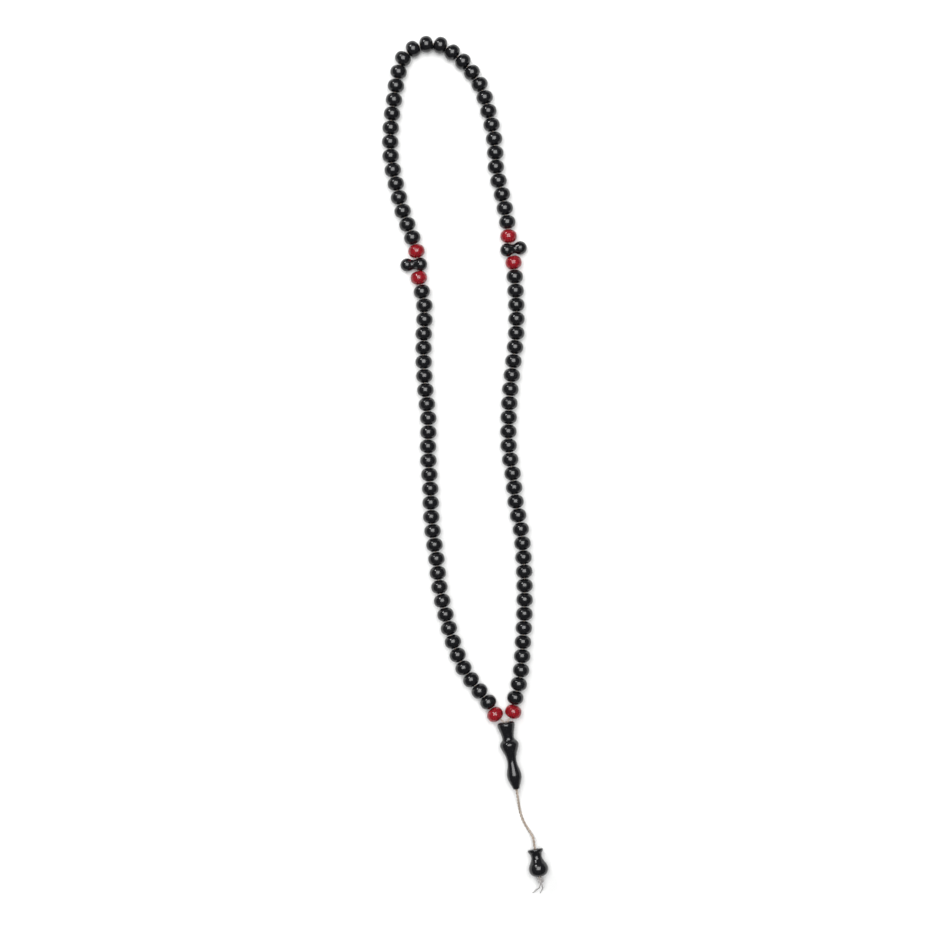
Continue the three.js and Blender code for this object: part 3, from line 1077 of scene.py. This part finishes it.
# Radius, then distance from the flange.
END_BEAD_OUTLINE = (
    (1.5, 0.15), (2.4, 0.1), (3.05, 0.3), (3.2, 0.75), (2.95, 1.35), (2.45, 2.1), (2.22, 3.1),
    (2.35, 4.2), (2.9, 5.4), (3.65, 6.7), (4.03, 8.0), (3.85, 9.4), (3.1, 10.6), (2.1, 11.3),
    (1.5, 11.42),
)


class Tail:
    """Everything below the loop: leader bead, bare twisted tail, end bead and knot."""

    strand_radius = 0.33
    strand_spacing = 0.25
    twist = 2.1
    leader_hole = 0.85
    end_bead_hole = 0.75
    knot_gap = 0.15
    knot_length = 2.3
    knot_radius = 1.32
    knot_tube = 0.36
    knot_steps = 96
    knot_columns = 16
    end_radius = 0.27
    fibres = 7
    fibre_radius = 0.075
    fray = 1.2
    fray_root = 1.5
    tail_steps = 240
    inside_steps = 80
    end_steps = 26
    fibre_steps = 9
    path_points = 90
    bend_reach = 2.4

    def __init__(self, layout: Layout, finishes: Finishes) -> None:
        """Takes the layout and the materials."""
        self.layout = layout
        self.finishes = finishes
        self.along = unit(END_BEAD_FOOT - END_BEAD_TOP)

    def tail_route(self) -> ThreadRoute:
        """The bare tail's line, from the leader bead's tip through the end bead."""
        back = END_BEAD_TOP - np.outer([TAIL_STRAIGHT, TAIL_STRAIGHT / 2, 0.0], self.along)
        through = [(END_BEAD_TOP + END_BEAD_FOOT) / 2, END_BEAD_FOOT,
                   END_BEAD_FOOT + self.along * (self.knot_gap + 0.5)]
        return ThreadRoute(np.vstack([TAIL_ROUTE, back, through]))

    def knot(self) -> bpy.types.Object:
        """An overhand knot: a trefoil's three crossings, pulled tight round the tail."""
        t = np.linspace(0, 2 * math.pi, self.knot_steps, endpoint=False)
        tube = self.knot_tube
        scale = (self.knot_radius - tube) / 3
        depth = self.knot_length / 2 - tube
        side_axis, top_axis = axes_along(self.along)[1:]
        x = (np.sin(t) + 2 * np.sin(2 * t)) * scale
        y = (np.cos(t) - 2 * np.cos(2 * t)) * scale
        z = -np.sin(3 * t) * depth
        middle = END_BEAD_FOOT + self.along * (self.knot_gap + self.knot_length / 2)
        line = (middle + x[:, None] * side_axis + y[:, None] * top_axis + z[:, None] * self.along)
        along = unit(np.roll(line, -1, axis=0) - np.roll(line, 1, axis=0))
        side = unit(np.cross(along, self.along + 0.3 * (line - middle)))
        top = np.cross(side, along)
        angle = np.linspace(0, 2 * math.pi, self.knot_columns, endpoint=False)
        rings = line[:, None, :] + tube * (np.cos(angle)[None, :, None] * top[:, None, :]
                                           + np.sin(angle)[None, :, None] * side[:, None, :])
        piece = ring_solid("tail_knot", rings)
        steps = np.linalg.norm(np.diff(line, axis=0, append=line[:1]), axis=1)
        distance = np.concatenate([[0], np.cumsum(steps)])
        self._uv_round(piece, distance, self.knot_steps, self.knot_columns)
        finish_piece(piece, self.finishes.ends)
        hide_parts("knot")
        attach(piece, "tail")
        return piece

    @staticmethod
    def _uv_round(piece: bpy.types.Object, distance: np.ndarray, rows: int, columns: int) -> None:
        """Lays UVs on a ring-shaped tube: U once round it and V along it."""
        layer = piece.data.uv_layers.new(name=UV_NAME)
        corner = np.empty(len(piece.data.loops), np.int32)
        piece.data.loops.foreach_get("vertex_index", corner)
        corner = corner.reshape(-1, 4)
        row, column = corner // columns, corner % columns
        row = np.where((row == 0) & (row.max(axis=1) == rows - 1)[:, None], rows, row)
        column = np.where((column == 0) & (column.max(axis=1) == columns - 1)[:, None], columns,
                          column)
        uv = np.stack([column / columns, distance[row]], -1)
        layer.data.foreach_set("uv", uv.astype(np.float32).ravel())

    def loose_ends(self) -> bpy.types.Object:
        """The thread's two ends below the knot, each frayed into a few fibres."""
        start = END_BEAD_FOOT + self.along * (self.knot_gap + self.knot_length - 0.5)
        chance = np.random.default_rng(SEED)
        parts = []
        for number, route in enumerate(LOOSE_ENDS):
            line = ThreadRoute(np.vstack([start, route]))
            whole = line.length
            parts.append(sweep(f"end_{number}", line, (0.0, whole - self.fray),
                               strand(self.end_radius), 0.0, self.end_steps))
            tip, heading = line.at(whole - self.fray_root), line.direction(whole - 0.2)
            for fibre in range(self.fibres):
                spread = chance.uniform(-1, 1, 3) * (0.5, 0.5, 0.12)
                reach = chance.uniform(1.5, 2.3)
                points = np.array([tip, tip + heading * 0.5 * reach + spread * 0.35,
                                   tip + heading * reach + spread])
                points[:, 2] = np.maximum(points[:, 2], 0.1)
                hair = ThreadRoute(points)
                parts.append(sweep(f"fibre_{number}_{fibre}", hair, (0.0, hair.length),
                                   strand(self.fibre_radius, 6), 0.0, self.fibre_steps,
                                   taper=0.7))
        piece = join("tail_loose_ends", parts)
        finish_piece(piece, self.finishes.ends)
        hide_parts("thread_ends")
        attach(piece, "tail")
        return piece

    def build(self) -> None:
        black = self.finishes.black
        TurnedBead("leader_bead", "imam_bead", LEADER_OUTLINE, IMAM_HEAD, IMAM_TIP,
                   self.leader_hole).build("imam", black)
        end_bead = TurnedBead("tail_end_bead", "end_bead", END_BEAD_OUTLINE, END_BEAD_TOP,
                              END_BEAD_FOOT, self.end_bead_hole).build("end_bead", black)
        section = two_strands(self.strand_radius, self.strand_spacing)
        route = self.tail_route()
        inside = ThreadRoute(np.array([IMAM_HEAD, (IMAM_HEAD + IMAM_TIP) / 2, TAIL_ROUTE[0]]))
        core = sweep("thread_in_leader", inside, (0.0, inside.length), section, self.twist,
                     self.inside_steps)
        finish_piece(core, self.finishes.yarn)
        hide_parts("tail_thread_upper")
        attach(core, "imam")
        knot, ends = self.knot(), self.loose_ends()
        tail = sweep("tail_thread", route, (0.0, route.length), section, self.twist,
                     self.tail_steps)
        finish_piece(tail, self.finishes.yarn)
        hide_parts("tail_thread_upper", "tail_thread_lower")
        path = in_frame(route.at(np.linspace(0, route.length, self.path_points)))
        bend = route.lengths[np.argmin(np.linalg.norm(route.line - TAIL_BEND, axis=1))]
        reach = self.bend_reach
        ends_of_bend = in_frame(route.at(np.array([bend - reach, bend + reach])))
        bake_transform(tail)
        LOG.info("tail of %.1f mm", route.length)


# ---------------------------------------------------------------- the setting


class Studio:
    """A pale surface, a broad soft light overhead and a camera straight above."""

    view_height = 0.385
    lens = 85.0
    sensor = 36.0
    floor_half = 1.5
    room_light = 0.12
    room_colour = (0.9, 0.95, 1.0, 1.0)

    def floor(self) -> None:
        """Makes the surface that the beads lie on."""
        half = self.floor_half
        mesh = bpy.data.meshes.new("surface")
        corners = [(-half, -half, 0), (half, -half, 0), (half, half, 0), (-half, half, 0)]
        mesh.from_pydata(corners, [], [(0, 1, 2, 3)])
        surface = bpy.data.objects.new("surface", mesh)
        bpy.context.collection.objects.link(surface)
        material, shader = new_material("pale_surface", {"Roughness": 0.9,
                                                         "Specular IOR Level": 0.2})
        tree = material.node_tree
        cloud = add_node(tree, "ShaderNodeTexNoise")
        cloud.inputs["Scale"].default_value = 9.0
        mix = add_node(tree, "ShaderNodeMix", data_type="RGBA")
        mix.inputs["A"].default_value = (0.80, 0.80, 0.79, 1.0)
        mix.inputs["B"].default_value = (0.84, 0.84, 0.835, 1.0)
        place = add_node(tree, "ShaderNodeTexCoord")
        tree.links.new(place.outputs["Object"], cloud.inputs["Vector"])
        tree.links.new(cloud.outputs["Fac"], mix.inputs["Factor"])
        tree.links.new(mix.outputs["Result"], shader.inputs["Base Color"])
        mesh.materials.append(material)
        surface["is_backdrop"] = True

    def light(self, name: str, place: tuple[float, float, float], size: float, power: float
              ) -> None:
        """Adds a square light that faces the middle of the beads."""
        lamp = bpy.data.lights.new(name, "AREA")
        lamp.size, lamp.energy = size, power
        obj = bpy.data.objects.new(name, lamp)
        obj.location = place
        away = -unit(np.array(place))
        pitch = math.acos(-away[2])
        turn = math.atan2(away[0], -away[1]) if abs(away[0]) + abs(away[1]) > 1e-6 else 0.0
        obj.rotation_euler = (-pitch, 0.0, turn)
        bpy.context.collection.objects.link(obj)

    def camera(self) -> None:
        """Stands the camera straight above the middle of the frame's model."""
        low, high = (np.array(corner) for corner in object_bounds())
        data = bpy.data.cameras.new("overhead")
        data.lens, data.sensor_width = self.lens, self.sensor
        camera = bpy.data.objects.new("overhead", data)
        middle = (low + high) / 2
        camera.location = (middle[0], middle[1], self.view_height * self.lens / self.sensor)
        bpy.context.collection.objects.link(camera)
        bpy.context.scene.camera = camera

    def build(self) -> None:
        """Makes the camera, floor and lights."""
        self.camera()
        self.floor()
        self.light("overhead_light", (0.0, 0.25, 1.3), size=1.1, power=26.0)
        self.light("window_light", (-0.9, 1.1, 1.0), size=0.35, power=9.0)
        world = bpy.data.worlds.new("room")
        world.use_nodes = True
        background = world.node_tree.nodes["Background"]
        background.inputs["Color"].default_value = self.room_colour
        background.inputs["Strength"].default_value = self.room_light
        bpy.context.scene.world = world
        bpy.context.scene.view_settings.view_transform = "Standard"


def main() -> None:
    """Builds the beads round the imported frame."""
    logging.basicConfig(level=logging.INFO, format="%(name)s: %(message)s")
    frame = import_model()
    Studio().build()
    layout = Layout(frame["record"]["behaviour"]["bodies"])
    finishes = Finishes()
    Tail(layout, finishes).build()
    BeadString(layout, finishes).build()
    for side in Side:
        Divider(side, layout, finishes).build()
    LoopThread(layout, finishes).build()


if __name__ == "__main__":
    main()
